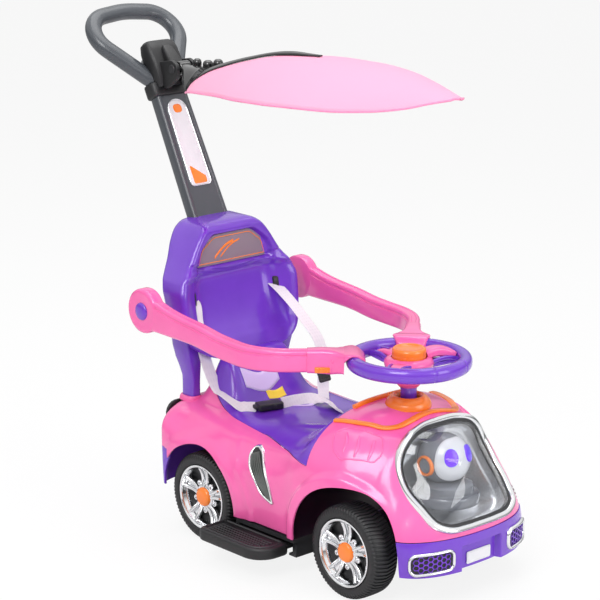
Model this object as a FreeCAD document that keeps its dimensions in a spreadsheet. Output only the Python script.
import FreeCAD, Part
import functools
import math
import os
import re
from types import SimpleNamespace

from FreeCAD import Placement, Rotation, Vector

# Push car with a parent handle: body, steering, guard ring, seat back, handle, canopy and harness.
# X runs forward, Y to the car's left, Z up. The floor is Z = 0.
# Reaches are measured from the middle of the wheelbase, in millimetres, and angles are in degrees.
SIZES = {
    # Wheels, axles and steering linkage
    "wheelbase": 362,
    "wheel_radius": 80,
    "tyre_width": 55,
    "wheel_face": 175,
    "tyre_bead": 10,
    "tyre_wall": 10,
    "rim_radius": 59,
    "rim_depth": 21,
    "rim_lip": 9,
    "spoke_count": 5,
    "spoke_width": 16,
    "hub_radius": 20,
    "cap_radius": 17,
    "axle_radius": 4,
    "nut_radius": 9,
    "nut_thickness": 3,
    "groove_count": 36,
    "groove_depth": 2.5,
    "groove_width": 4,
    "kingpin_radius": 6,
    "kingpin_face": 100,
    "steer_arm": 32,
    "link_thickness": 4,
    "link_width": 14,
    "link_height": 103,
    "link_pin": 3,
    "running_gap": 0.08,
    "air_gap": 0.4,
    # Body hull
    "body_half_width": 180,
    "tail_reach": 290,
    "nose_reach": 330,
    "hull_floor": 60,
    "sill_height": 70,
    "deck_height": 251,
    "seat_height": 259,
    "hood_height": 296,
    "hood_rear": 97,
    "brow_reach": 221,
    "brow_height": 284,
    "chin_height": 128,
    "shell_wall": 3.5,
    "seam_gap": 0.4,
    "rear_arch": 98,
    "front_arch": 112,
    "arch_lip": 28,
    "arch_proud": 6,
    "hip_height": 320,
    "hip_inner": 130,
    "hip_outer": 172,
    "trim_thickness": 2,
    "hood_trim_width": 9,
    "bumper_proud": 3,
    "rear_bumper_top": 152,
    "rear_bumper_low": 80,
    # Window and lamp unit
    "window_half_low": 84,
    "window_half_middle": 104,
    "window_half_top": 70,
    "window_half_tall": 88,
    "window_frame_width": 10,
    "bubble_rise": 36,
    "bubble_depth": 76,
    "bubble_reach": 150,
    "bubble_wall": 2.5,
    "bubble_skirt": 30,
    "bowl_depth": 62,
    "bowl_reach": 125,
    "lamp_radius": 41,
    "lamp_reach": 235,
    "lamp_height": 218,
    "lens_radius": 11,
    "lens_pitch": 40,
    "ear_radius": 17,
    "grille_width": 74,
    "grille_tall": 34,
    "grille_y": 98,
    "grille_height": 82,
    # Steering wheel
    "column_reach": 156,
    "wheel_height": 369.5,
    "steer_radius": 94,
    "grip_radius": 11,
    "steer_hub_radius": 40,
    "column_radius": 16,
    "rod_radius": 5,
    "flange_radius": 38.5,
    "flange_rise": 18,
    "horn_radius": 29,
    "horn_rise": 14,
    "horn_travel": 3,
    # Guard ring
    "pivot_reach": 315,
    "pivot_height": 396,
    "arm_y": 187,
    "arm_height": 38,
    "arm_thickness": 24,
    "arm_level": 370,
    "arm_corner": 120,
    "arm_disc": 40,
    "pivot_radius": 8,
    "pivot_cap": 15.5,
    "clip_angle": 47.6,
    "clip_length": 54,
    "clip_height": 43,
    "clip_thickness": 27,
    "clip_gap": 1.5,
    "release_length": 20,
    "release_width": 10,
    "release_travel": 4,
    # Backrest
    "back_top": 552,
    "back_half_width": 145,
    "back_wall": 4,
    "back_scoop": 112,
    "badge_half_width": 78,
    "badge_tall": 44,
    "badge_height": 478,
    "badge_thickness": 3,
    "leg_length": 48,
    "leg_width": 32,
    "leg_y": 132,
    "leg_depth": 24,
    # Push handle
    "post_foot_reach": 322,
    "post_foot_height": 455,
    "post_lean": 27.4,
    "post_length": 352,
    "post_width": 74,
    "post_depth": 27,
    "post_corner": 9,
    "post_wall": 4,
    "loop_lean": 46,
    "loop_length": 160,
    "loop_half_width": 112,
    "loop_tube": 14,
    "label_width": 46,
    "label_length": 156,
    "label_thickness": 2,
    "label_foot": 116,
    # Canopy
    "clamp_height": 54,
    "clamp_wall": 9,
    "canopy_pivot_reach": 427,
    "canopy_pivot_height": 792,
    "canopy_pin": 5,
    "canopy_rear": 345,
    "canopy_tip": 248,
    "canopy_half_width": 164,
    "canopy_crown": 852,
    "canopy_drop": 58,
    "canopy_sheet": 2,
    "blade_half_width": 15,
    "blade_thickness": 6,
    "blade_end": 60,
    # Footrests and chassis
    "step_rear": 114,
    "step_front": 50,
    "step_face": 241,
    "step_edge": 179,
    "step_inner": 112,
    "step_tall": 23,
    "step_corner": 24,
    "step_wall": 5,
    "tongue_rear": 86,
    "tread_count": 9,
    "pan_thickness": 7,
    "rail_width": 9,
    "rail_lip": 4,
    "screw_radius": 4,
    "screw_head": 2.5,
    # Harness
    "webbing_width": 25,
    "webbing_thickness": 1.6,
    "slot_y": 95,
    "slot_height": 403,
}

doc = FreeCAD.newDocument("PushCar")
sheet = doc.addObject("Spreadsheet::Sheet", "Sizes")
for row, (alias, size) in enumerate(SIZES.items(), start=1):
    sheet.set(f"A{row}", alias)
    sheet.set(f"B{row}", str(size))
    sheet.setAlias(f"B{row}", alias)
doc.recompute()
D = SimpleNamespace(**{alias: float(sheet.get(alias)) for alias in SIZES})

AXLE = D.wheelbase / 2
WHEEL_Y = D.wheel_face - D.tyre_width / 2
WHEEL_INNER = D.wheel_face - D.tyre_width
PAN_TOP = D.sill_height
PAN_LOW = D.sill_height - D.pan_thickness
# Gap under a trim that is laid on the body
FIT = D.air_gap / 2
STEER_PIN_REACH = AXLE - D.steer_arm
CRANK_PIN_REACH = D.column_reach - D.steer_arm
LEFT, RIGHT = 1, -1
SIDES = {"left": LEFT, "right": RIGHT}
UP = Vector(0, 0, 1)
FORWARD = Vector(1, 0, 0)
ACROSS = Vector(0, 1, 0)


def lean_direction(angle):
    """Upward direction that leans backwards by an angle."""
    return Vector(-math.sin(math.radians(angle)), 0, math.cos(math.radians(angle)))


POST_WAY = lean_direction(D.post_lean)
LOOP_WAY = lean_direction(D.loop_lean)
POST_FOOT = Vector(-D.post_foot_reach, 0, D.post_foot_height)
POST_TOP = POST_FOOT + POST_WAY * D.post_length
GRIP_MIDDLE = POST_TOP + LOOP_WAY * D.loop_length

# The origin is on the floor, halfway between the grip at the back and the bumper at the front.
BEZEL_PROUD = D.bumper_proud + 1.5 * D.trim_thickness
FRONT_REACH = D.nose_reach + BEZEL_PROUD
REAR_REACH = D.loop_tube - GRIP_MIDDLE.x
ORIGIN_SHIFT = Vector((REAR_REACH - FRONT_REACH) / 2, 0, 0)
NODES = []


def car(reach, side, height):
    """Point given by its reach from the middle of the wheelbase."""
    return Vector(reach, side, height) + ORIGIN_SHIFT


def cells(text):
    """Expression in which each driving size is read from the sheet."""
    def named(word):
        return "Sizes." + word.group() if word.group() in SIZES else word.group()

    return re.sub(r"[a-z_]+", named, text)


def keep(label, piece):
    """Give a finished sub-part its own name."""
    piece.Label = label
    NODES.append(piece)
    return piece


def primitive(kind, name, place, **sizes):
    """Part primitive whose sizes are bound to the sheet."""
    piece = doc.addObject("Part::" + kind, name)
    for size, text in sizes.items():
        piece.setExpression(size, cells(text))
    piece.Placement = place
    return piece


def feature(name, shape):
    """Piece whose shape is worked out from the sizes."""
    piece = doc.addObject("Part::Feature", name)
    piece.Shape = shape
    return piece


def cut(name, base, tool):
    piece = doc.addObject("Part::Cut", name)
    piece.Base = base
    piece.Tool = tool
    return piece


def fuse(name, *pieces):
    piece = doc.addObject("Part::MultiFuse", name)
    piece.Shapes = list(pieces)
    return piece


def group(name, *pieces):
    piece = doc.addObject("Part::Compound", name)
    piece.Links = list(pieces)
    return piece


def upright(reach, side, height):
    """Place of a primitive that stands on its base."""
    return Placement(car(reach, side, height), Rotation())


def sideways(reach, side, height, hand):
    """Place of a turned piece whose axis points out to the left or the right."""
    return Placement(car(reach, side, height), Rotation(FORWARD, -90 * hand))


def rounded(corners):
    """Lines and tangent arcs of a closed outline with corners (x, y) or (x, y, radius)."""
    edges = []
    ends = []
    for index, corner in enumerate(corners):
        here = Vector(corner[0], corner[1], 0)
        if len(corner) < 3:
            ends.append((here, here))
            continue
        after = corners[(index + 1) % len(corners)]
        back = (Vector(*corners[index - 1][:2], 0) - here).normalize()
        ahead = (Vector(*after[:2], 0) - here).normalize()
        half = back.getAngle(ahead) / 2
        reach = corner[2] / math.tan(half)
        inner = (back + ahead).normalize() * (corner[2] / math.sin(half) - corner[2])
        start, end = here + back * reach, here + ahead * reach
        edges.append(Part.Arc(start, here + inner, end))
        ends.append((start, end))
    for index, (start, end) in enumerate(ends):
        following = ends[(index + 1) % len(ends)][0]
        if end.distanceToPoint(following) > 1e-6:
            edges.append(Part.LineSegment(end, following))
    return edges


def outline_wire(corners):
    return Part.Wire(Part.__sortEdges__([edge.toShape() for edge in rounded(corners)]))


def prism(corners, place, low, high):
    """Outline extruded between two depths along the placed Z direction."""
    block = Part.Face(outline_wire(corners)).extrude(UP * (high - low))
    block.translate(UP * low)
    block.Placement = place.multiply(block.Placement)
    return block


def side_view():
    """Place of an outline drawn in a side view: X forward, Y up, depth towards the right."""
    return Placement(ORIGIN_SHIFT, Rotation(FORWARD, 90))


def top_view():
    return Placement(ORIGIN_SHIFT, Rotation())


def sketched_body(name, plane_role, corners, place):
    """Body with one sketch on an origin plane."""
    body = doc.addObject("PartDesign::Body", name)
    plane = [part for part in body.Origin.OriginFeatures if part.Role == plane_role][0]
    sketch = body.newObject("Sketcher::SketchObject", name + "_sketch")
    sketch.AttachmentSupport = (plane, [""])
    sketch.MapMode = "FlatFace"
    sketch.addGeometry(rounded(corners))
    body.Placement = place
    return body, sketch


def turned(name, corners, place):
    """Body of revolution: corners give radius and height along its axis."""
    body, sketch = sketched_body(name, "XZ_Plane", corners, place)
    turn = body.newObject("PartDesign::Revolution", name + "_turn")
    turn.Profile = sketch
    turn.ReferenceAxis = (sketch, ["V_Axis"])
    turn.Angle = 360
    return body


def plate(name, corners, place, thickness):
    """Body padded upwards from a rounded outline by a size of the sheet."""
    body, sketch = sketched_body(name, "XY_Plane", corners, place)
    pad = body.newObject("PartDesign::Pad", name + "_pad")
    pad.Profile = sketch
    pad.setExpression("Length", cells(thickness))
    return body


# Wheels

def tyre(name, place):
    """Hollow moulded tyre with its web, hub and cross grooves."""
    half = D.tyre_width / 2
    bore = D.axle_radius + D.running_gap
    floor = half - D.rim_depth
    well = D.rim_radius
    inside = D.wheel_radius - D.tyre_wall
    corners = [(bore, -half), (bore, floor), (well, floor), (well, half - 2), (well + 2, half),
               (D.wheel_radius, half, D.tyre_bead), (D.wheel_radius, -half, D.tyre_bead), (inside, -half),
               (inside, floor - D.shell_wall), (D.nut_radius + 3, floor - D.shell_wall),
               (D.nut_radius + 3, -half)]
    body = turned(name, corners, place)
    doc.recompute()
    plane = [part for part in body.Origin.OriginFeatures if part.Role == "XY_Plane"][0]
    groove = body.newObject("Sketcher::SketchObject", name + "_groove")
    groove.AttachmentSupport = (plane, [""])
    groove.MapMode = "FlatFace"
    deep = D.wheel_radius - D.groove_depth
    wide = D.groove_width / 2
    groove.addGeometry(rounded([(deep, -wide), (D.wheel_radius + wide, -wide),
                                (D.wheel_radius + wide, wide), (deep, wide)]))
    pocket = body.newObject("PartDesign::Pocket", name + "_groove_cut")
    pocket.Profile = groove
    pocket.Type = "ThroughAll"
    pocket.SideType = "Symmetric"
    pattern = body.newObject("PartDesign::PolarPattern", name + "_grooves")
    axis = [part for part in body.Origin.OriginFeatures if part.Role == "Z_Axis"][0]
    pattern.Originals = [pocket]
    pattern.Axis = (axis, [""])
    pattern.Angle = 360
    pattern.setExpression("Occurrences", cells("groove_count"))
    body.Tip = pattern
    return body


def rim(name, place):
    """Plated rim: outer ring, hub and spokes, clipped into the tyre's outer face."""
    half = D.tyre_width / 2
    floor = half - D.rim_depth
    outside = D.rim_radius - D.air_gap / 2
    inside = outside - D.rim_lip
    ring = turned(name + "_ring", [(inside, floor), (outside, floor), (outside, half - 2),
                                   (outside - 3, half - 2), (inside + 1, floor + 9)], place)
    hub = turned(name + "_hub", [(D.nut_radius + 1, floor), (D.hub_radius, floor),
                                 (D.hub_radius, half - 9, 3), (D.nut_radius + 1, half - 9)], place)
    spokes = []
    for index in range(int(D.spoke_count)):
        turn = Rotation(UP, 360 / D.spoke_count * index)
        local = Placement(turn.multVec(Vector(D.hub_radius - 3, -D.spoke_width / 2, floor)), turn)
        spokes.append(primitive("Box", f"{name}_spoke_{index}", place.multiply(local),
                                Length="rim_radius - rim_lip - hub_radius + 4", Width="spoke_width",
                                Height="rim_depth / 2"))
    return fuse(name + "_wheel", ring, hub, *spokes)


def hub_cap(name, place):
    half = D.tyre_width / 2
    seat = half - 9
    return turned(name, [(0, seat), (D.cap_radius, seat), (D.cap_radius, half, 5), (0, half)], place)


def push_nut(name, place):
    half = D.tyre_width / 2
    low = half - D.rim_depth + D.air_gap
    bore = D.axle_radius
    return turned(name, [(bore, low), (D.nut_radius, low), (D.nut_radius, low + D.nut_thickness, 1),
                         (bore, low + D.nut_thickness)], place)


def placed_copy(name, source, place):
    """Copy of a piece that was modelled about the origin, set at its own place."""
    piece = group(name, source)
    piece.Placement = place
    return piece


def wheels():
    middle = Placement()
    models = {"tyre": tyre("Tyre_model", middle), "rim": rim("Rim_model", middle),
              "hub_cap": hub_cap("Hub_cap_model", middle)}
    for end, reach in (("front", AXLE), ("rear", -AXLE)):
        for side, hand in SIDES.items():
            place = sideways(reach, hand * WHEEL_Y, D.wheel_radius, hand)
            for kind, model in models.items():
                keep(f"{kind}_{end}_{side}", placed_copy(f"Copy_{kind}_{end}_{side}", model, place))


def axle_length():
    """Length of an axle from the middle of its wheel to just outside its nut."""
    return D.tyre_width / 2 - D.rim_depth + D.nut_thickness + 2


def rear_axle():
    rod = primitive("Cylinder", "Rear_rod",
                    sideways(-AXLE, -WHEEL_Y - axle_length(), D.wheel_radius, LEFT), Radius="axle_radius",
                    Height="2 * (wheel_face - rim_depth + nut_thickness + 2)")
    nuts = [push_nut(f"Rear_nut_{side}", sideways(-AXLE, hand * WHEEL_Y, D.wheel_radius, hand))
            for side, hand in SIDES.items()]
    keep("rear_axle", group("Rear_axle_set", rod, *nuts))


def knuckles():
    """Steel knuckles: kingpin, stub axle with its nut, and steering arm with its pin."""
    block_low = PAN_TOP + D.air_gap
    beam_low = D.link_height + D.link_thickness * 3 + 6
    for side, hand in SIDES.items():
        face = hand * D.kingpin_face
        pin = primitive("Cylinder", f"Kingpin_{side}", upright(AXLE, face, PAN_LOW), Radius="kingpin_radius")
        pin.Height = beam_low + D.pan_thickness - PAN_LOW
        block = primitive("Cylinder", f"Knuckle_block_{side}", upright(AXLE, face, block_low),
                          Radius="kingpin_radius + 4")
        block.Height = beam_low - D.air_gap - block_low
        stub = primitive("Cylinder", f"Stub_{side}", sideways(AXLE, face, D.wheel_radius, hand),
                         Radius="axle_radius")
        stub.Height = WHEEL_Y + axle_length() - D.kingpin_face
        collar = primitive("Cylinder", f"Stub_collar_{side}", sideways(AXLE, face, D.wheel_radius, hand),
                           Radius="nut_radius", Height="wheel_face - tyre_width - kingpin_face - air_gap")
        arm_low = D.link_height - D.link_thickness - D.air_gap
        arm = primitive("Box", f"Steer_arm_{side}",
                        upright(STEER_PIN_REACH - D.link_width / 2, face - D.link_width / 2, arm_low),
                        Length="steer_arm + link_width / 2", Width="link_width", Height="link_thickness")
        link = primitive("Cylinder", f"Steer_pin_{side}", upright(STEER_PIN_REACH, face, arm_low),
                         Radius="link_pin", Height="2 * link_thickness + 2 * air_gap")
        solid = fuse(f"Knuckle_solid_{side}", pin, block, stub, collar, arm, link)
        nut = push_nut(f"Front_nut_{side}", sideways(AXLE, hand * WHEEL_Y, D.wheel_radius, hand))
        keep(f"knuckle_{side}", group(f"Knuckle_set_{side}", solid, nut))


def tie_rod():
    """Flat link from knuckle to knuckle, bent back to the crank of the steering rod."""
    half = D.link_width / 2
    face = D.kingpin_face
    corners = [(STEER_PIN_REACH + half, -face - half, half - 1), (STEER_PIN_REACH + half, -face + half),
               (CRANK_PIN_REACH + half, -half, half), (CRANK_PIN_REACH + half, half, half),
               (STEER_PIN_REACH + half, face - half), (STEER_PIN_REACH + half, face + half, half - 1),
               (STEER_PIN_REACH - half, face + half, half - 1), (STEER_PIN_REACH - half, face - half * 2),
               (CRANK_PIN_REACH - half, half * 2), (CRANK_PIN_REACH - half, -half * 2),
               (STEER_PIN_REACH - half, -face + half * 2), (STEER_PIN_REACH - half, -face - half, half - 1)]
    bar = plate("Tie_bar", corners, upright(0, 0, D.link_height), "link_thickness")
    holes = [primitive("Cylinder", f"Tie_hole_{index}", upright(reach, face_y, D.link_height - 1),
                       Radius="link_pin + running_gap", Height="link_thickness + 2")
             for index, (reach, face_y) in enumerate(((STEER_PIN_REACH, face), (STEER_PIN_REACH, -face),
                                                      (CRANK_PIN_REACH, 0)))]
    keep("tie_rod", cut("Tie_drilled", bar, group("Tie_holes", *holes)))


# Body hull: one family of rounded sections, from which the skins are split

def hull_stations():
    """Reach, half width, shoulder height, crown height and squareness of each section."""
    wide = D.body_half_width
    deck, seat, hood = D.deck_height, D.seat_height, D.hood_height
    tail, nose = -D.tail_reach, D.nose_reach
    stations = [(tail, wide - 28, deck - 52, deck - 14, 3.5), (tail + 12, wide - 15, deck - 40, deck - 3, 4),
                (tail + 50, wide - 5, deck - 30, deck, 4.5), (-AXLE, wide, deck - 25, deck + 2, 4.5),
                (-AXLE * 0.62, wide, seat - 16, seat - 2, 4.2), (-AXLE / 3, wide - 1, seat - 13, seat, 4),
                (D.hood_rear / 5, wide - 1, seat - 31, seat + 8, 3.2),
                (D.hood_rear, wide, hood - 104, hood - 4, 2.6),
                (D.column_reach, wide - 6, hood - 118, hood, 2.2), (AXLE, wide - 12, hood - 131, hood - 3, 2),
                (D.brow_reach, wide - 27, hood - 161, D.brow_height, 2)]
    slope = [(0.33, 26, 180, 2), (0.5, 31, 199, 2.1), (0.64, 38, 205, 2.6), (0.77, 51, 214, 3.6),
             (0.87, 70, 217, 5), (0.945, 90, 219, 6), (1, 112, 220, 6)]
    for share, inset, drop, squareness in slope:
        crown = D.brow_height + share * (D.chin_height - D.brow_height)
        reach = D.brow_reach + share * (nose - D.brow_reach)
        stations.append((reach, wide - inset, hood - drop, crown, squareness))
    return stations


@functools.lru_cache(maxsize=None)
def hull(grow):
    """Solid of the whole body, grown outwards or inwards by an amount."""
    steps = 7
    wires = []
    stations = hull_stations()
    floor = D.hull_floor if grow >= 0 else D.hull_floor + 2 * grow
    for index, (reach, wide, shoulder, crown, squareness) in enumerate(stations):
        ends = {0: -grow, len(stations) - 1: grow}
        place = reach + ends.get(index, 0)
        wide, crown = wide + grow, crown + grow
        points = [(wide - 5, floor), (wide - 2, (2 * floor + shoulder) / 3),
                  (wide, (floor + 2 * shoulder) / 3)]
        for step in range(steps):
            angle = math.pi / 2 * step / (steps - 1)
            points.append((wide * max(math.cos(angle), 0) ** (2 / squareness),
                           shoulder + (crown - shoulder) * math.sin(angle)))
        half = [car(place, -y, z) for y, z in points]
        other = [car(place, y, z) for y, z in reversed(points[:-1])]
        curve = Part.BSplineCurve()
        curve.interpolate(half + other)
        base = Part.LineSegment(other[-1], half[0])
        wires.append(Part.Wire([curve.toShape(), base.toShape()]))
    return Part.makeLoft(wires, True, False)


def skin(zone, low, high):
    """Part of a zone that lies between two sizes of the hull."""
    return zone.common(hull(high)).cut(hull(low))


def arch(reach, radius, low=-300, high=300):
    """Wheel arch as a round cut across the car."""
    return Part.makeCylinder(radius, high - low, car(reach, low, D.wheel_radius), ACROSS)


def spline_zone(points, closing):
    """Side view zone whose first edge is a smooth line through points."""
    place = side_view()
    curve = Part.BSplineCurve()
    curve.interpolate([Vector(x, z, 0) for x, z in points])
    corners = [Vector(x, z, 0) for x, z in [points[-1], *closing, points[0]]]
    lines = [Part.LineSegment(start, end).toShape() for start, end in zip(corners, corners[1:])]
    block = Part.Face(Part.Wire([curve.toShape(), *lines])).extrude(UP * 600)
    block.translate(UP * -300)
    block.Placement = place.multiply(block.Placement)
    return block


def seat_zone(gap):
    """Space of the saddle: above the seam line on each side, and back between the hips."""
    rise = D.seat_height - gap
    line = [(-134 - gap, rise + 26), (-113, rise - 3), (-66, rise - 9), (10, rise - 24), (60, rise - 38),
            (D.hood_rear + gap, rise - 49)]
    upper = spline_zone(line, [(D.hood_rear + gap, 400), (-134 - gap, 400)])
    wide = D.hip_inner - 4 + gap
    rear = Part.makeBox(100, 2 * wide, 80, car(-205 - gap, -wide, D.deck_height - 30))
    return upper.fuse(rear)


def bumper_zone(gap):
    """Space of the front bumper, under a seam that falls towards the nose."""
    nose = D.nose_reach
    slope = 24 / 38
    top = D.chin_height - 32 + gap
    corners = [(nose - 75, top + slope * 75), (nose + 12, top - slope * 12), (nose + 12, 20), (nose - 75, 20)]
    return prism(corners, side_view(), -300, 300)


def tail_zone(gap):
    """Space of the rear bumper, behind the rear wheels."""
    low = Part.makeBox(60, 600, D.rear_bumper_top + gap, car(-D.tail_reach - 30, -300, 0))
    return low


def arch_lips():
    """Flares that stand proud of the body round the wheel arches."""
    proud = hull(D.arch_proud).cut(window_block(D.window_frame_width + D.air_gap, -60, 90))
    return [arch(reach, radius + D.arch_lip).cut(arch(reach, radius)).common(proud)
            for reach, radius in ((AXLE, D.front_arch), (-AXLE, D.rear_arch))]


def hips():
    """Raised sides of the body beside the seat back."""
    top = D.hip_height
    deck = D.deck_height - 12
    corners = [(-212, deck), (-186, top, 14), (-146, top - 8, 16), (-126, 270, 20), (-100, deck)]
    wings = []
    for low, high in ((D.hip_inner, D.hip_outer), (-D.hip_outer, -D.hip_inner)):
        block = prism(corners, side_view(), low, high)
        rims = [edge for edge in block.Edges if abs(edge.BoundBox.YLength) < 1]
        wings.append(block.makeFillet(9, rims))
    return wings


def leg_places():
    return [(hand, car(-246 - D.leg_length / 2, hand * D.leg_y - D.leg_width / 2, 0))
            for hand in (LEFT, RIGHT)]


def below(height):
    """Everything under a height."""
    return Part.makeBox(1000, 600, height + 100, car(-500, -300, -100))


def body_and_bumpers():
    """Body shell, saddle, bumpers and rear panel, split from one hull."""
    outer, wall = hull(0), D.shell_wall
    inner = hull(-wall)
    tools = [inner, arch(AXLE, D.front_arch), arch(-AXLE, D.rear_arch), below(D.sill_height),
             seat_zone(D.seam_gap), bumper_zone(D.seam_gap), tail_zone(D.seam_gap),
             window_block(D.air_gap, -60, 90),
             Part.makeCylinder(D.column_radius, 90, car(D.column_reach, 0, D.hood_height - 60))]
    for hand, corner in leg_places():
        tools.append(Part.makeBox(D.leg_length + 2 * D.air_gap, D.leg_width + 2 * D.air_gap, 200,
                                  corner + Vector(-D.air_gap, -D.air_gap, D.deck_height - 60)))
    keep("body_shell", feature("Body_shell", outer.fuse([*arch_lips(), *hips()]).cut(tools)))
    keep("seat_saddle", feature("Saddle", skin(seat_zone(0), -wall, 0).cut(hips())))
    bumper = skin(bumper_zone(0), -wall, D.bumper_proud).cut(arch(AXLE, D.front_arch))
    keep("front_bumper", feature("Front_bumper", bumper))
    rear = skin(tail_zone(0), -wall, 0).cut([arch(-AXLE, D.rear_arch), below(D.rear_bumper_low)])
    keep("rear_bumper", feature("Rear_bumper", rear))
    band = Part.makeBox(12, 600, 200, car(-D.tail_reach - 6, -300, D.rear_bumper_top + 4))
    keep("rear_panel", feature("Rear_panel", skin(band, FIT, D.trim_thickness)))


def hood_trim():
    """Orange strip laid in a U round the top of the hood."""
    rear, front = D.hood_rear + 4, D.brow_reach - 15
    wide = D.hood_trim_width
    outside = [(rear, -96), (front, -84, 22), (front, 84, 22), (rear, 96)]
    inside = [(rear - 1, -96 + wide), (front - wide, -84 + wide, 16), (front - wide, 84 - wide, 16),
              (rear - 1, 96 - wide)]
    band = prism(outside, top_view(), 200, 400).cut(prism(inside, top_view(), 190, 410))
    keep("hood_trim", feature("Hood_trim", skin(band, FIT, D.trim_thickness)))


# Front window and its lamp unit

def window_place():
    """Place whose X is across the window, Y up its slope and Z out of it."""
    low = car(D.nose_reach, 0, D.chin_height)
    top = car(D.brow_reach, 0, D.brow_height)
    slope = (top - low).normalize()
    return Placement((low + top) * 0.5, Rotation(ACROSS, slope, ACROSS.cross(slope), "ZXY"))


def window_block(grow, low, high):
    """Window outline, grown and extruded along the window's normal."""
    tall = D.window_half_tall + grow
    half = [(D.window_half_low + grow, -tall, 34 + grow), (D.window_half_middle + grow, 0, 120),
            (D.window_half_top + grow, tall, 48 + grow)]
    corners = half + [(-x, y, radius) for x, y, radius in reversed(half)]
    return prism(corners, window_place(), low, high)


def window_ball(rise, depth, wide):
    """Ellipsoid on the window's axis that rises in front of it or sinks behind it."""
    ball = Part.makeSphere(1)
    squash = FreeCAD.Matrix()
    squash.scale(wide, wide, depth)
    ball = ball.transformGeometry(squash)
    ball.translate(UP * (rise - depth))
    ball.Placement = window_place().multiply(ball.Placement)
    return ball


def window():
    ring = window_block(D.window_frame_width, -60, 90).cut(window_block(0, -70, 100))
    keep("window_frame", feature("Window_frame", skin(ring, FIT, 2 * D.trim_thickness)))
    wall, skirt = D.bubble_wall, D.bubble_skirt
    rise, dome, wide = D.bubble_rise, D.bubble_depth, D.bubble_reach
    outside = window_block(0, -skirt, 90).common(window_ball(rise, dome, wide))
    inside = window_block(-wall, -skirt - 1, 90).common(window_ball(rise - wall, dome, wide - wall))
    keep("window_bubble", feature("Window_bubble", outside.cut(inside)))
    deep, wide = D.bowl_depth, D.bowl_reach
    bowl_outside = window_block(0, -deep - skirt, -skirt).common(window_ball(deep - skirt, deep, wide))
    bowl_space = window_block(-wall, -deep - skirt, -skirt + 1)
    bowl_space = bowl_space.common(window_ball(deep - skirt - wall, deep - wall, wide - wall))
    keep("lamp_bowl", feature("Lamp_bowl", bowl_outside.cut(bowl_space)))
    return bowl_space


def lamp_unit(bowl_space):
    """Ball lamp on a stepped pedestal, with a white fascia, two lenses and orange side rings."""
    centre = car(D.lamp_reach, 0, D.lamp_height)
    ball = Part.makeSphere(D.lamp_radius, centre)
    core = Part.makeSphere(D.lamp_radius - D.shell_wall, centre)
    shaft = Part.makeCylinder(D.lamp_radius - 14, D.lamp_height, car(D.lamp_reach - 6, 0, 0))
    low = D.lamp_height - D.lamp_radius - 70
    stem = Part.makeCylinder(D.lamp_radius - 7, 100, car(D.lamp_reach - 6, 0, low))
    step = Part.makeCylinder(D.lamp_radius + 8, 58, car(D.lamp_reach - 8, 0, low))
    pedestal = stem.fuse(step).removeSplitter().common(bowl_space).cut([ball, shaft])
    globe = ball.cut([core, shaft])
    keep("lamp_housing", feature("Lamp_housing", Part.makeCompound([globe, pedestal])))
    ahead = Rotation(UP, Vector(0.93, 0, 0.36))
    front = Placement(centre, ahead)
    fascia = prism([(-20, -26, 14), (22, -26, 14), (22, 26, 14), (-20, 26, 14)], front, 0, D.lamp_radius + 4)
    fascia = fascia.common(Part.makeSphere(D.lamp_radius + 3, centre)).cut(ball)
    keep("lamp_fascia", feature("Lamp_fascia", fascia))
    lenses = []
    for hand in (LEFT, RIGHT):
        barrel = Part.makeCylinder(D.lens_radius, D.lamp_radius + 6)
        barrel.translate(Vector(0, hand * D.lens_pitch / 2, 0))
        barrel.Placement = front.multiply(barrel.Placement)
        cover = barrel.common(Part.makeSphere(D.lamp_radius + 6, centre))
        lenses.append(cover.cut(Part.makeSphere(D.lamp_radius + 3, centre)))
    keep("lamp_lenses", feature("Lamp_lenses", Part.makeCompound(lenses)))
    rings = []
    for hand in (LEFT, RIGHT):
        disc = Part.makeCylinder(D.ear_radius, D.lamp_radius + 4, centre, ACROSS * hand)
        bore = Part.makeCylinder(D.ear_radius - 5, D.lamp_radius + 9, centre, ACROSS * hand)
        rings.append(disc.cut([bore, ball, fascia]))
    keep("lamp_side_rings", feature("Lamp_side_rings", Part.makeCompound(rings)))


def grilles():
    """Bright bezels and meshes low on the corners of the front bumper."""
    base = D.bumper_proud + FIT
    bezels, meshes = [], []
    wide, tall = D.grille_width / 2, D.grille_tall / 2
    for hand in (LEFT, RIGHT):
        turn = Rotation(UP, 29 * hand)
        out = turn.multVec(FORWARD)
        across = turn.multVec(ACROSS)
        place = Placement(car(D.nose_reach - 30, hand * D.grille_y, D.grille_height),
                          Rotation(across, UP, out, "ZXY"))
        outside = prism([(-wide, -tall + 2, 12), (wide, -tall + 2, 12), (wide - 3, tall, 14),
                         (-wide + 3, tall, 14)], place, -5, 70)
        inside = prism([(-wide + 5, -tall + 7, 8), (wide - 5, -tall + 7, 8), (wide - 8, tall - 5, 9),
                        (-wide + 8, tall - 5, 9)], place, -6, 71)
        bezels.append(skin(outside.cut(inside), base, BEZEL_PROUD))
        meshes.append(skin(inside, base, base + D.trim_thickness / 2))
    keep("grille_bezels", feature("Grille_bezels", Part.makeCompound(bezels)))
    keep("grille_meshes", feature("Grille_meshes", Part.makeCompound(meshes)))


def vents():
    """Gill shaped vents on both sides, a bright frame round a ribbed insert."""
    outside = [(-20, 222, 5), (-50, 190, 6), (18, 118, 4), (-4, 176, 60)]
    inside = [(-21, 212, 3), (-41, 190, 4), (2, 142, 3), (-11, 180, 50)]
    frames, inserts = [], []
    for low in (120, -220):
        hole = prism(inside, side_view(), low, low + 100)
        frames.append(skin(prism(outside, side_view(), low, low + 100).cut(hole), FIT, 2 * D.trim_thickness))
        inserts.append(skin(hole, FIT, D.trim_thickness))
    keep("vent_frames", feature("Vent_frames", Part.makeCompound(frames)))
    keep("vent_inserts", feature("Vent_inserts", Part.makeCompound(inserts)))


# Chassis and footrests

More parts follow.
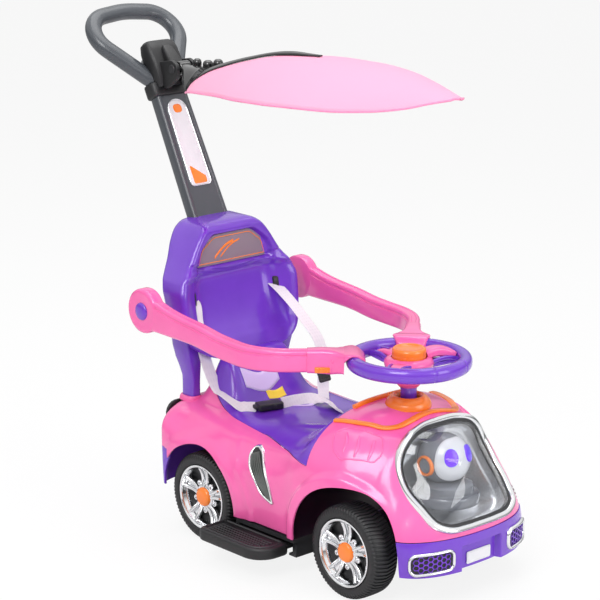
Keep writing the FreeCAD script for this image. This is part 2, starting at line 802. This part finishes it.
def chassis():
    """Pan between the wheels with axle bosses, kingpin lugs, link beam and footrest rails."""
    wide = D.body_half_width - 6
    beam_low = D.link_height + D.link_thickness * 3 + 6
    lug = D.kingpin_radius + 5
    lug_y = D.kingpin_face + lug - 1
    face, thick = D.kingpin_face, D.pan_thickness
    solids = [Part.makeBox(146, 2 * wide, thick, car(-84, -wide, PAN_LOW)),
              Part.makeBox(150, 120, thick, car(-AXLE - 34, -60, PAN_LOW)),
              Part.makeBox(68, 2 * (WHEEL_INNER - 45), 48, car(-AXLE - 34, -WHEEL_INNER + 45, PAN_LOW)),
              Part.makeBox(AXLE + 110, 164, thick, car(20, -82, PAN_LOW)),
              Part.makeBox(2 * lug, 2 * face, thick, car(AXLE - lug, -face, PAN_LOW)),
              Part.makeBox(2 * lug, 2 * face, thick, car(AXLE - lug, -face, beam_low))]
    for hand in (LEFT, RIGHT):
        for low in (PAN_LOW, beam_low):
            solids.append(Part.makeCylinder(lug, D.pan_thickness, car(AXLE, hand * D.kingpin_face, low)))
        solids.append(Part.makeBox(22, 8, beam_low - PAN_LOW, car(AXLE - lug, hand * 78 - 4, PAN_LOW)))
        solids.append(Part.makeCylinder(D.axle_radius + 6, WHEEL_INNER - 60 - D.air_gap,
                                        car(-AXLE, hand * 60, D.wheel_radius), ACROSS * hand))
        inner = D.step_inner - 60
        for edge in (-D.tongue_rear - D.rail_width - D.air_gap, D.step_front + D.air_gap):
            low = PAN_LOW - D.step_tall - 2 * D.air_gap - D.rail_lip
            long = wide - inner - 8
            start = inner if hand == LEFT else -inner - long
            solids.append(Part.makeBox(D.rail_width, long, PAN_LOW - low, car(edge, start, low)))
            inward = edge if edge > 0 else edge + D.rail_width
            lip = -D.rail_width if edge > 0 else 0
            solids.append(Part.makeBox(D.rail_width, long, D.rail_lip, car(inward + lip, start, low)))
    pan = solids[0].fuse(solids[1:]).removeSplitter()
    bores = [Part.makeCylinder(D.axle_radius, 400, car(-AXLE, -200, D.wheel_radius), ACROSS),
             Part.makeCylinder(D.rod_radius + D.running_gap, 40, car(D.column_reach, 0, PAN_LOW - 5)),
             Part.makeBox(52, 100, 36, car(-AXLE - 26, -50, PAN_LOW + D.pan_thickness + 8))]
    bores += [Part.makeCylinder(D.kingpin_radius + D.running_gap, 100, car(AXLE, hand * face, PAN_LOW - 5))
              for hand in (LEFT, RIGHT)]
    keep("chassis_pan", feature("Chassis_pan", pan.cut(bores)))
    keep("battery_cover", plate("Battery_cover", [(90, -40, 6), (136, -40, 6), (136, 40, 6), (90, 40, 6)],
                                upright(0, 0, PAN_LOW - D.trim_thickness), "trim_thickness"))
    spots = [(-AXLE + 60, -40), (-AXLE + 60, 40), (230, -60), (230, 60), (255, 0), (72, -60), (72, 60)]
    heads = [primitive("Cylinder", f"Screw_{index}", upright(reach, side, PAN_LOW - D.screw_head),
                       Radius="screw_radius", Height="screw_head")
             for index, (reach, side) in enumerate(spots)]
    keep("chassis_screws", group("Chassis_screws", *heads))


def footrests():
    """Plug-in step boards: a ribbed tread outside the wheels and a tongue in rails under the pan."""
    low = PAN_LOW - D.step_tall - D.air_gap
    wall, corner = D.step_wall, D.step_corner
    inset = 16
    pitch = (D.step_face - D.step_edge - inset) / D.tread_count
    for side, hand in SIDES.items():
        face, edge, inner = hand * D.step_face, hand * D.step_edge, hand * D.step_inner
        board = plate(f"Step_{side}", [(-D.tongue_rear, inner), (D.step_front, inner),
                                       (D.step_front, face, corner * 1.6), (-D.step_rear, face, corner / 2),
                                       (-D.step_rear, edge), (-D.tongue_rear, edge)],
                      upright(0, 0, low), "step_tall")
        doc.recompute()
        tools = [primitive("Box", f"Tread_{side}_{index}",
                           upright(inset - D.step_rear,
                                   hand * (D.step_edge + inset / 2 + pitch * index) - 1.5,
                                   low + D.step_tall - 2),
                           Length="step_rear + step_front - 44", Width="3", Height="4")
                 for index in range(int(D.tread_count))]
        near = D.step_inner + wall if hand == LEFT else corner + wall - D.step_face
        tools.append(primitive("Box", f"Step_hollow_{side}", upright(wall - D.tongue_rear, near, low - wall),
                               Length="tongue_rear + step_front - 2 * step_wall - step_corner",
                               Width="step_face - step_inner - step_corner - 2 * step_wall",
                               Height="step_tall"))
        keep(f"footrest_{side}", cut(f"Step_ribbed_{side}", board, group(f"Treads_{side}", *tools)))


# Steering wheel

def steering():
    centre = D.wheel_height
    keep("steering_rim", steering_rim(centre))
    base = centre - 24
    hub = turned("Steer_hub", [(D.rod_radius, base), (D.steer_hub_radius - 10, base),
                               (D.steer_hub_radius, centre - 8, 6), (D.steer_hub_radius, centre + 4, 4),
                               (D.horn_radius + D.air_gap, centre + 4),
                               (D.horn_radius + D.air_gap, centre + 4 - D.horn_travel - 5),
                               (D.rod_radius, centre + 4 - D.horn_travel - 5)],
                 upright(D.column_reach, 0, 0))
    keep("steering_hub", hub)
    top = centre + 4 - D.horn_travel - 5 + D.horn_travel + D.air_gap
    dish = [(0, top), (D.horn_radius, top), (D.horn_radius, top + D.horn_rise, 7), (0, top + D.horn_rise + 2)]
    keep("horn_button", turned("Horn_button", dish, upright(D.column_reach, 0, 0)))
    sleeve_low = D.hood_height + D.flange_rise + D.air_gap
    keep("steering_column", turned("Steer_sleeve", [(D.rod_radius, sleeve_low), (D.column_radius, sleeve_low),
                                                    (D.column_radius + 3, base), (D.rod_radius, base)],
                                   upright(D.column_reach, 0, 0)))
    crank_low = D.link_height + D.link_thickness + D.air_gap
    rod = primitive("Cylinder", "Steer_rod", upright(D.column_reach, 0, PAN_LOW), Radius="rod_radius")
    rod.Height = centre + 4 - D.horn_travel - 6 - PAN_LOW
    half = D.link_width / 2
    crank = primitive("Box", "Crank", upright(CRANK_PIN_REACH - half, -half, crank_low),
                      Length="steer_arm + link_width / 2", Width="link_width", Height="link_thickness")
    pin = primitive("Cylinder", "Crank_pin", upright(CRANK_PIN_REACH, 0, D.link_height - D.air_gap),
                    Radius="link_pin", Height="2 * link_thickness + air_gap")
    keep("steering_rod", fuse("Steer_rod_set", rod, crank, pin))
    low = D.hood_height - 20
    cone = Part.makeCone(D.flange_radius + 8, D.column_radius + 5, D.flange_rise + 20,
                         car(D.column_reach, 0, low))
    bore = Part.makeCylinder(D.rod_radius + D.running_gap, 90, car(D.column_reach, 0, low - 10))
    neck = Part.makeCylinder(D.column_radius - D.air_gap, 30, car(D.column_reach, 0, low))
    keep("steering_flange", feature("Steer_flange", cone.cut(hull(0)).fuse(neck).cut(bore)))


def steering_rim(centre):
    """Round rim with three spokes that end at the hub."""
    ring = Part.makeTorus(D.steer_radius, D.grip_radius, car(D.column_reach, 0, centre))
    spokes = []
    for angle in (180, 55, -55):
        spoke = prism([(D.steer_hub_radius - 6, -15), (D.steer_radius, -11), (D.steer_radius, 11),
                       (D.steer_hub_radius - 6, 15)],
                      Placement(car(D.column_reach, 0, centre), Rotation(UP, angle)), -9, 3)
        spokes.append(spoke)
    hub_space = Part.makeCylinder(D.steer_hub_radius, 60, car(D.column_reach, 0, centre - 30))
    return feature("Steer_rim", ring.fuse([spoke.cut(hub_space) for spoke in spokes]))


# Guard ring

def arm_path(hand):
    """Points and directions along an arm, from its pivot round the corner towards the steering rim."""
    turn = math.radians(D.clip_angle)
    end = Vector(D.column_reach - D.steer_radius * math.cos(turn), D.steer_radius * math.sin(turn), 0)
    inward = Vector(math.cos(turn), -math.sin(turn), 0)
    corner = end - inward * ((D.arm_y - end.y) / math.sin(turn))
    tangent = D.arm_corner * math.tan(turn / 2)
    centre = Vector(corner.x - tangent, D.arm_y - D.arm_corner, 0)
    stops = [(Vector(-D.pivot_reach + share * (corner.x - tangent + D.pivot_reach), D.arm_y, 0), FORWARD)
             for share in (0, 0.25, 0.5, 0.75, 1)]
    for share in (1 / 3, 2 / 3, 1):
        angle = turn * share
        ahead = Vector(math.cos(angle), -math.sin(angle), 0)
        stops.append((centre + Vector(math.sin(angle), math.cos(angle), 0) * D.arm_corner, ahead))
    stops.append((end - inward * D.clip_length, inward))
    return [(Vector(p.x, hand * p.y, 0), Vector(a.x, hand * a.y, 0)) for p, a in stops], (end, inward)


def bar_section(centre, ahead, wide, tall, corner):
    """Rounded rectangular wire square to the way a bar runs."""
    place = Placement(centre, Rotation(UP.cross(ahead), UP, ahead, "ZXY"))
    wire = outline_wire([(-wide / 2, -tall / 2, corner), (wide / 2, -tall / 2, corner),
                         (wide / 2, tall / 2, corner), (-wide / 2, tall / 2, corner)])
    wire.Placement = place.multiply(wire.Placement)
    return wire


def guard_arm(hand):
    stops, (end, inward) = arm_path(hand)
    wires = []
    for index, (point, ahead) in enumerate(stops):
        fall = min(index / 3, 1)
        ease = fall * fall * (3 - 2 * fall)
        height = D.pivot_height + ease * (D.arm_level - D.pivot_height)
        tall = D.arm_height + (1 - ease) * 16
        wires.append(bar_section(car(point.x, point.y, height), ahead, D.arm_thickness, tall, 7))
    bar = Part.makeLoft(wires, True, False)
    low = hand * (D.arm_y - D.arm_thickness / 2)
    disc = Part.makeCylinder(D.arm_disc, D.arm_thickness, car(-D.pivot_reach, low, D.pivot_height),
                             ACROSS * hand)
    disc = disc.makeFillet(5, disc.Edges)
    bore = Part.makeCylinder(D.pivot_radius + D.running_gap, 60,
                             car(-D.pivot_reach, low - hand * 20, D.pivot_height), ACROSS * hand)
    return disc.fuse(bar).cut(bore)


def clip_place(hand):
    turn = math.radians(D.clip_angle)
    inward = Vector(math.cos(turn), -hand * math.sin(turn), 0)
    rim_point = car(D.column_reach - D.steer_radius * math.cos(turn), hand * D.steer_radius * math.sin(turn),
                    D.arm_level)
    return Placement(rim_point, Rotation(inward, UP.cross(inward), UP, "ZXY"))


def release_slot(grow, low, high):
    return [(-D.clip_length + 12 - grow, -D.release_width / 2 - grow),
            (-D.clip_length + 12 + D.release_length + grow, -D.release_width / 2 - grow),
            (-D.clip_length + 12 + D.release_length + grow, D.release_width / 2 + grow),
            (-D.clip_length + 12 - grow, D.release_width / 2 + grow)], low, high


def guard_ring():
    for side, hand in SIDES.items():
        keep(f"guard_arm_{side}", feature(f"Guard_arm_{side}", guard_arm(hand)))
        place = clip_place(hand)
        inner = D.grip_radius + D.clip_gap + 5
        tall = D.clip_height / 2
        half = D.clip_thickness / 2
        block = prism([(-D.clip_length, -half, 6), (inner, -half, 8), (inner, half, 8),
                       (-D.clip_length, half, 6)], place, -tall, tall)
        under = prism([(-D.grip_radius - 10, -half - 5), (inner + 5, -half - 5), (inner + 5, half + 5),
                       (-D.grip_radius - 10, half + 5)], place, -tall - 5, -D.grip_radius / 2)
        groove = Part.makeTorus(D.steer_radius, D.grip_radius + D.clip_gap,
                                car(D.column_reach, 0, D.wheel_height))
        ring = Part.makeCylinder(D.steer_radius + D.grip_radius + D.clip_gap, 60,
                                 car(D.column_reach, 0, D.wheel_height - 60))
        ring = ring.cut(Part.makeCylinder(D.steer_radius - D.grip_radius - D.clip_gap, 60,
                                          car(D.column_reach, 0, D.wheel_height - 60)))
        corners, low, high = release_slot(D.air_gap, -tall - 1, -tall + 14)
        slot = prism(corners, place, low, high)
        keep(f"guard_clip_{side}", feature(f"Guard_clip_{side}", block.cut([under, groove, ring, slot])))
        corners, low, high = release_slot(0, -tall - 5, -tall + 14 - D.release_travel - D.air_gap)
        keep(f"clip_release_{side}", feature(f"Clip_release_{side}", prism(corners, place, low, high)))
    pins = []
    for side, hand in SIDES.items():
        inner = D.arm_y - D.arm_thickness / 2 - 30
        outer_face = D.arm_y + D.arm_thickness / 2 + D.air_gap
        pins.append(turned(f"Pivot_pin_{side}",
                           [(0, inner), (D.pivot_radius, inner), (D.pivot_radius, outer_face),
                            (D.pivot_cap, outer_face), (D.pivot_cap, outer_face + 7, 5), (0, outer_face + 7)],
                           sideways(-D.pivot_reach, 0, D.pivot_height, hand)))
    keep("guard_pivot_pins", group("Guard_pivot_pins", *pins))


# Backrest

def back_solid(grow):
    """Backrest outer form from its foot on the deck to its rounded top."""
    top = D.back_top
    wide = D.back_half_width
    levels = [(D.deck_height + 6, -288, -226, wide - 17, 14), (340, -320, -256, wide - 3, 22),
              (410, -328, -261, wide, 24), (470, -342, -268, wide - 21, 24), (515, -358, -281, wide - 45, 24),
              (top - 10, -368, -291, wide - 70, 24), (top, -362, -300, wide - 92, 20)]
    wires = []
    for index, (height, rear, front, half, corner) in enumerate(levels):
        height += {0: -grow, len(levels) - 1: grow}.get(index, 0)
        wire = outline_wire([(rear - grow, -half - grow, corner), (front + grow, -half - grow, corner),
                             (front + grow, half + grow, corner), (rear - grow, half + grow, corner)])
        wire.translate(car(0, 0, height))
        wires.append(wire)
    return Part.makeLoft(wires, True, False)


def panel_line(offset):
    """Side view line of the backrest panel, moved forward by an offset."""
    line = [(-200, D.deck_height + 4), (-226, 280), (-252, 314), (-276, 352), (-293, D.slot_height),
            (-299, 460), (-299, 520)]
    return [(x + offset, z) for x, z in line]


def panel_zone(offset, half):
    """Space in front of the backrest panel, between its side wings."""
    line = panel_line(offset)
    zone = spline_zone(line, [(-150, 520), (-150, D.deck_height + 4)])
    return zone.common(Part.makeBox(400, 2 * half, 700, car(-400, -half, 0)))


def post_shape(grow, start, end):
    """Post between two lengths along its lean, grown all round."""
    place = Placement(ORIGIN_SHIFT + POST_FOOT, Rotation(ACROSS, POST_WAY.cross(ACROSS), POST_WAY, "ZXY"))
    wide, deep = D.post_width / 2 + grow, D.post_depth / 2 + grow
    corner = D.post_corner + grow
    return prism([(-wide, -deep, corner), (wide, -deep, corner), (wide, deep, corner), (-wide, deep, corner)],
                 place, start, end)


def backrest():
    outer = back_solid(0)
    scoop = panel_zone(0, D.back_scoop)
    inner_scoop = panel_zone(-D.back_wall - 1, D.back_scoop + D.back_wall)
    hollow = back_solid(-D.back_wall).cut(inner_scoop)
    shell = outer.cut(scoop).cut(hollow)
    solids = []
    for hand, corner in leg_places():
        foot = corner + UP * (D.deck_height - D.leg_depth)
        solids.append(Part.makeBox(D.leg_length, D.leg_width, D.leg_depth + 14, foot))
        low = D.back_half_width - 12
        boss = Part.makeCylinder(26, D.arm_y - D.arm_thickness / 2 - D.air_gap - low,
                                 car(-D.pivot_reach, hand * low, D.pivot_height), ACROSS * hand)
        solids.append(boss)
    whole = shell.fuse(solids)
    cuts = [post_shape(D.air_gap, -1, 400)]
    for hand in (LEFT, RIGHT):
        cuts.append(Part.makeCylinder(D.pivot_radius, 120, car(-D.pivot_reach, hand * 100, D.pivot_height),
                                      ACROSS * hand))
        wide = D.webbing_width + 6
        cuts.append(Part.makeBox(40, wide, 6, car(-310, hand * D.slot_y - wide / 2, D.slot_height - 3)))
    keep("backrest", feature("Backrest", whole.cut(cuts)))
    gap = D.air_gap
    line = panel_zone(gap, D.badge_half_width)
    line = line.cut(panel_zone(gap + D.badge_thickness, D.badge_half_width + 1))
    half, tall = D.badge_half_width, D.badge_tall / 2
    front = Placement(car(-250, 0, D.badge_height), Rotation(ACROSS, UP, FORWARD, "ZXY"))
    shape = prism([(-half, -tall, 10), (half, -tall, 10), (half - 12, tall, 16), (-half + 12, tall, 16)],
                  front, -80, 60)
    keep("backrest_badge", feature("Backrest_badge", line.common(shape)))


# Push handle and canopy

def loop_grip():
    """Closed grip loop: two sides that spread from the post and a bar across."""
    place = Placement(ORIGIN_SHIFT + POST_TOP, Rotation(ACROSS, LOOP_WAY, ACROSS.cross(LOOP_WAY), "ZXY"))
    half, far = D.loop_half_width, D.loop_length
    corners = [(0, -14, 26), (half, far - 8, 40), (0, far, 500), (-half, far - 8, 40)]
    path = outline_wire(corners)
    start = path.OrderedEdges[0]
    point = start.valueAt(start.FirstParameter)
    tangent = start.tangentAt(start.FirstParameter)
    ring = Part.Wire([Part.Circle(point, tangent, D.loop_tube).toShape()])
    tube = path.makePipeShell([ring], True, False)
    tube.Placement = place.multiply(tube.Placement)
    return tube


def push_handle():
    post = post_shape(0, 0, D.post_length).cut(post_shape(-D.post_wall, -1, D.post_length - 2 * D.loop_tube))
    keep("push_handle", feature("Push_handle", post.fuse(loop_grip())))
    place = Placement(ORIGIN_SHIFT + POST_FOOT, Rotation(ACROSS, POST_WAY, ACROSS.cross(POST_WAY), "ZXY"))
    half, low = D.label_width / 2, D.label_foot
    face = D.post_depth / 2
    label = prism([(-half, low, 12), (half, low, 12), (half, low + D.label_length, 14),
                   (-half, low + D.label_length, 14)], place, face, face + D.label_thickness)
    keep("handle_label", feature("Handle_label", label))


def canopy_clamp():
    """Collar round the post with two cheeks that carry the canopy's pin."""
    wall = D.clamp_wall
    start = D.post_length - 72
    collar = post_shape(wall, start, start + D.clamp_height).cut(post_shape(D.air_gap / 2, start - 1, 400))
    pivot = car(-D.canopy_pivot_reach, 0, D.canopy_pivot_height)
    cheeks = []
    for hand in (LEFT, RIGHT):
        low = 13 if hand == LEFT else -19
        corners = [(-D.canopy_pivot_reach - 34, 745), (-D.canopy_pivot_reach + 20, 738, 6),
                   (-D.canopy_pivot_reach + 14, D.canopy_pivot_height + 12, 10),
                   (-D.canopy_pivot_reach - 14, D.canopy_pivot_height + 12, 10),
                   (-D.canopy_pivot_reach - 30, 770)]
        cheeks.append(prism(corners, side_view(), low, low + 6))
    pin = Part.makeCylinder(D.canopy_pin, 38, pivot - ACROSS * 19, ACROSS)
    body = collar.fuse([cheek.cut(post_shape(D.air_gap / 2, 0, 400)) for cheek in cheeks]).fuse(pin)
    keep("canopy_clamp", feature("Canopy_clamp", body))


def canopy_stations():
    """Reach, half width, crown height and edge drop of the canopy along its length."""
    rear, tip = -D.canopy_rear, D.canopy_tip
    long = tip - rear
    crown, drop, wide = D.canopy_crown, D.canopy_drop, D.canopy_half_width
    shares = [(0, 0.16, -32, 0.1), (0.1, 0.46, -15, 0.4), (0.24, 0.76, -4, 0.8), (0.38, 0.94, 0, 1),
              (0.455, 0.985, 0, 1), (0.55, 0.99, -1, 0.98), (0.64, 0.94, -2, 0.98), (0.75, 0.8, -5, 0.96),
              (0.84, 0.61, -11, 0.75), (0.93, 0.36, -21, 0.4), (1, 0.1, -33, 0.1)]
    return [(rear + share * long, wide * width, crown + rise, drop * fall)
            for share, width, rise, fall in shares]


def arc_band(reach, half, crown, drop, low, high):
    """Curved strip across the car between two heights above the canopy line."""
    def arc(lift):
        points = [car(reach, -half, crown - drop + lift), car(reach, 0, crown + lift),
                  car(reach, half, crown - drop + lift)]
        return Part.Arc(*points)
    upper, lower = arc(high), arc(low)
    right = Part.LineSegment(upper.EndPoint, lower.EndPoint)
    left = Part.LineSegment(lower.StartPoint, upper.StartPoint)
    return Part.Wire(Part.__sortEdges__([edge.toShape() for edge in (upper, right, lower, left)]))


def canopy():
    stations = canopy_stations()
    sheet_wires = [arc_band(*station, -D.canopy_sheet, 0) for station in stations]
    keep("canopy_sheet", feature("Canopy_sheet", Part.makeLoft(sheet_wires, True, True)))
    blade_wires = []
    half = D.blade_half_width
    lift = D.air_gap
    for reach, wide, crown, drop in stations:
        if reach > -D.blade_end:
            break
        share = min(half / wide, 1)
        blade_wires.append(arc_band(reach, half, crown, drop * share * share, lift, lift + D.blade_thickness))
    blade = Part.makeLoft(blade_wires, True, True)
    pivot = car(-D.canopy_pivot_reach, 0, D.canopy_pivot_height)
    root_wires = []
    reach, wide, crown, drop = stations[0]
    share = min(half / wide, 1)
    for blend in (0, 0.35, 0.7, 1):
        x = reach + blend * (-D.canopy_pivot_reach + 9 - reach)
        z = crown + lift + blend * (D.canopy_pivot_height - crown - lift)
        side = half + blend * (12 - half)
        root_wires.append(arc_band(x, side, z, drop * share * share * (1 - blend) + 0.4 * blend,
                                   -7 * blend, D.blade_thickness + 3 * blend))
    root = Part.makeLoft(root_wires, True, True)
    barrel = Part.makeCylinder(13, 24, pivot - ACROSS * 12, ACROSS)
    bore = Part.makeCylinder(D.canopy_pin + D.running_gap, 60, pivot - ACROSS * 30, ACROSS)
    keep("canopy_arm", feature("Canopy_arm", blade.fuse([root, barrel]).cut(bore)))


# Harness

def strap(route, lean):
    """Flat webbing along hand chosen points, its width across the car."""
    points = [car(*point) for point in route]
    wide, thick = D.webbing_width / 2, D.webbing_thickness / 2
    wires = []
    for index, point in enumerate(points):
        ahead = (points[min(index + 1, len(points) - 1)] - points[max(index - 1, 0)]).normalize()
        across = (ACROSS + FORWARD * lean[index]).normalize()
        normal = ahead.cross(across).normalize()
        side = normal.cross(ahead).normalize()
        corners = [point + side * a * wide + normal * b * thick
                   for a, b in ((-1, -1), (1, -1), (1, 1), (-1, 1))]
        wires.append(Part.makePolygon([*corners, corners[0]]))
    return Part.makeLoft(wires, True, False)


def harness():
    """Shoulder webbing through the backrest slots, buckle and adjuster resting on the seat."""
    slot, high = D.slot_y, D.slot_height
    seat = hull(FIT)
    right = [(-299, -slot, high - 1), (-288, -slot, high - 4), (-270, -slot - 1, 360), (-245, -slot - 3, 322),
             (-215, -slot - 4, 283), (-180, -slot - 6, 264), (-130, -slot - 10, 260.5),
             (-84, -slot - 26, 258)]
    left = [(-299, slot, high - 1), (-288, slot, high - 3), (-250, slot + 1, 381), (-205, slot, 351),
            (-165, slot - 2, 319), (-150, slot - 4, 292), (-148, slot - 6, 271)]
    crotch = [(22, -50, 276), (-8, -74, 270), (-36, -100, 264)]
    straps = [strap(right, [0] * 7 + [0.3]), strap(left, [0] * 7), strap(crotch, [0.8] * 3)]
    straps = [webbing.cut(seat) for webbing in straps]
    keep("harness_straps", feature("Harness_straps", Part.makeCompound(straps)))
    buckle = prism([(-24, -13, 5), (24, -13, 5), (24, 13, 5), (-24, 13, 5)],
                   Placement(car(-58, -124, 258), Rotation(UP, 38)), -8, 8)
    adjuster = prism([(-14, -16, 4), (14, -16, 4), (14, 16, 4), (-14, 16, 4)],
                     Placement(car(-148, slot - 6, 262), Rotation()), -8, 8)
    fittings = [piece.cut([seat, *straps]) for piece in (buckle, adjuster)]
    keep("harness_buckles", feature("Harness_buckles", Part.makeCompound(fittings)))


wheels()
rear_axle()
knuckles()
tie_rod()
body_and_bumpers()
hood_trim()
lamp_unit(window())
grilles()
vents()
chassis()
footrests()
steering()
guard_ring()
backrest()
push_handle()
canopy_clamp()
canopy()
harness()
doc.recompute()

for piece in doc.Objects:
    if any(state in ("Invalid", "Error") for state in piece.State):
        raise RuntimeError(f"{piece.Label} failed: {piece.State}")
for piece in NODES:
    shape = piece.Shape
    if shape.isNull() or not shape.isValid() or not shape.Solids:
        raise RuntimeError(f"{piece.Label} has no valid solid")

os.makedirs("parts", exist_ok=True)
for piece in NODES:
    piece.Shape.exportStep(f"parts/{piece.Label}.step")
print(len(NODES), "pieces written")
